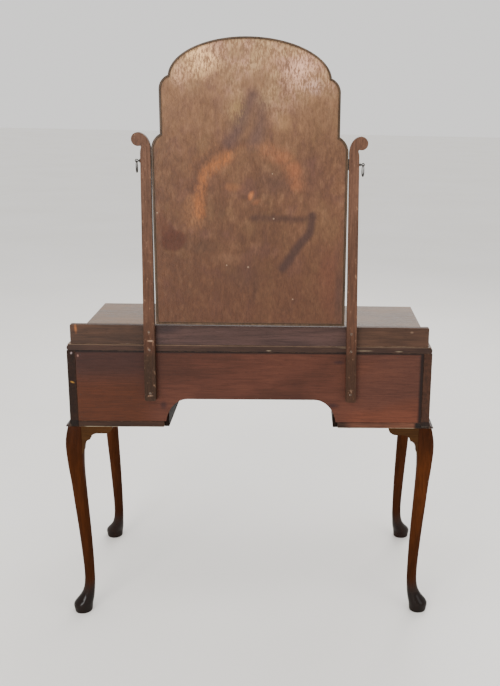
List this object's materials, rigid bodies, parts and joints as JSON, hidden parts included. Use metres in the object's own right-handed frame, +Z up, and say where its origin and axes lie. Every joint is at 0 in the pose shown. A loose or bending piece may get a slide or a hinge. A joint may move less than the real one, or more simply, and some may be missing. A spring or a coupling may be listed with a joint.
{
  "type": "kneehole dressing table with swing mirror",
  "caption": "Queen Anne style kneehole dressing table on cabriole legs, with drawers, a low back gallery and a shaped mirror that swings between two standards.",
  "frame": {"origin": "on the floor under the middle of the bounding box", "axes": "+Z up, -Y towards the sitter (drawer fronts), +X to the right as seen from the front"},
  "size_m": [0.9666, 0.4917, 1.504],
  "materials": {
    "mahogany_dark": "dark red-brown French polish",
    "mahogany_panel": "stained plywood, satin",
    "mahogany_top": "polished",
    "standard_wood": "worn dull brown stain",
    "plywood": "stained plywood back, satin",
    "rim_wood": "dark polish",
    "drawer_wood": "bare, waxed",
    "mirror_glass": "silvered",
    "oxidised_metal": "oxidised",
    "brass": "aged"
  },
  "bodies": {
    "root": {"top_board": "mahogany_top", "gallery_board": "mahogany_dark", "back_panel": "mahogany_panel", "kneehole_ceiling": "mahogany_panel", "front_apron": "mahogany_dark", "side_panel_right": "mahogany_dark", "kneehole_wall_right": "mahogany_dark", "pedestal_bottom_right": "mahogany_dark", "base_moulding_right": "mahogany_dark", "mirror_standard_right": "standard_wood", "leg_front_right": "mahogany_dark", "knee_bracket_front_right_across": "mahogany_dark", "knee_bracket_front_right_side": "mahogany_dark", "leg_rear_right": "mahogany_dark", "knee_bracket_rear_right_across": "mahogany_dark", "knee_bracket_rear_right_side": "mahogany_dark", "side_panel_left": "mahogany_dark", "kneehole_wall_left": "mahogany_dark", "pedestal_bottom_left": "mahogany_dark", "base_moulding_left": "mahogany_dark", "mirror_standard_left": "standard_wood", "leg_front_left": "mahogany_dark", "knee_bracket_front_left_across": "mahogany_dark", "knee_bracket_front_left_side": "mahogany_dark", "leg_rear_left": "mahogany_dark", "knee_bracket_rear_left_across": "mahogany_dark", "knee_bracket_rear_left_side": "mahogany_dark"},
    "mirror": {"mirror_frame": "rim_wood", "mirror_glass": "mirror_glass", "mirror_back_board": "plywood", "pivot_plate_right": "oxidised_metal", "pivot_plate_left": "oxidised_metal"},
    "pivot_screw_right": {"pivot_screw_right": "oxidised_metal"},
    "drop_ring_right": {"drop_ring_right": "oxidised_metal"},
    "pivot_screw_left": {"pivot_screw_left": "oxidised_metal"},
    "drop_ring_left": {"drop_ring_left": "oxidised_metal"},
    "drawer_right": {"drawer_right_front": "mahogany_dark", "drawer_right_side_left": "drawer_wood", "drawer_right_side_right": "drawer_wood", "drawer_right_back": "drawer_wood", "drawer_right_bottom": "drawer_wood", "handle_plate_right": "brass"},
    "bail_right": {"bail_right": "brass"},
    "drawer_left": {"drawer_left_front": "mahogany_dark", "drawer_left_side_left": "drawer_wood", "drawer_left_side_right": "drawer_wood", "drawer_left_back": "drawer_wood", "drawer_left_bottom": "drawer_wood", "handle_plate_left": "brass"},
    "bail_left": {"bail_left": "brass"},
    "drawer_centre": {"drawer_centre_front": "mahogany_dark", "drawer_centre_side_left": "drawer_wood", "drawer_centre_side_right": "drawer_wood", "drawer_centre_back": "drawer_wood", "drawer_centre_bottom": "drawer_wood", "handle_plate_centre_right": "brass", "handle_plate_centre_left": "brass"},
    "bail_centre_right": {"bail_centre_right": "brass"},
    "bail_centre_left": {"bail_centre_left": "brass"}
  },
  "joints": [
    {"name": "mirror_tilt", "type": "hinge", "parent": "root", "child": "mirror", "pos_m": [0, 0.23775, 1.2155], "axis": [1, 0, 0], "continuous": true},
    {"name": "pivot_screw_right_turn", "type": "hinge", "parent": "root", "child": "pivot_screw_right", "pos_m": [0.27, 0.23775, 1.2155], "axis": [1, 0, 0], "continuous": true},
    {"name": "drop_ring_right_swing", "type": "hinge", "parent": "pivot_screw_right", "child": "drop_ring_right", "pos_m": [0.27, 0.23775, 1.2155], "axis": [0.4226, -0.9063, 0], "range_deg": [-5, 80]},
    {"name": "pivot_screw_left_turn", "type": "hinge", "parent": "root", "child": "pivot_screw_left", "pos_m": [-0.27, 0.23775, 1.2155], "axis": [-1, 0, 0], "continuous": true},
    {"name": "drop_ring_left_swing", "type": "hinge", "parent": "pivot_screw_left", "child": "drop_ring_left", "pos_m": [-0.27, 0.23775, 1.2155], "axis": [0.4226, 0.9063, 0], "range_deg": [-5, 80]},
    {"name": "drawer_right_slide", "type": "slide", "parent": "root", "child": "drawer_right", "axis": [0, -1, 0], "range_m": [0, 0.28]},
    {"name": "bail_right_swing", "type": "hinge", "parent": "drawer_right", "child": "bail_right", "pos_m": [0.3321, -0.2298, 0.6524], "axis": [-1, 0, 0], "range_deg": [-12, 88]},
    {"name": "drawer_left_slide", "type": "slide", "parent": "root", "child": "drawer_left", "axis": [0, -1, 0], "range_m": [0, 0.28]},
    {"name": "bail_left_swing", "type": "hinge", "parent": "drawer_left", "child": "bail_left", "pos_m": [-0.3321, -0.2298, 0.6524], "axis": [-1, 0, 0], "range_deg": [-12, 88]},
    {"name": "drawer_centre_slide", "type": "slide", "parent": "root", "child": "drawer_centre", "axis": [0, -1, 0], "range_m": [0, 0.28]},
    {"name": "bail_centre_right_swing", "type": "hinge", "parent": "drawer_centre", "child": "bail_centre_right", "pos_m": [0.11, -0.2298, 0.6915], "axis": [-1, 0, 0], "range_deg": [-12, 88]},
    {"name": "bail_centre_left_swing", "type": "hinge", "parent": "drawer_centre", "child": "bail_centre_left", "pos_m": [-0.11, -0.2298, 0.6915], "axis": [-1, 0, 0], "range_deg": [-12, 88]}
  ]
}
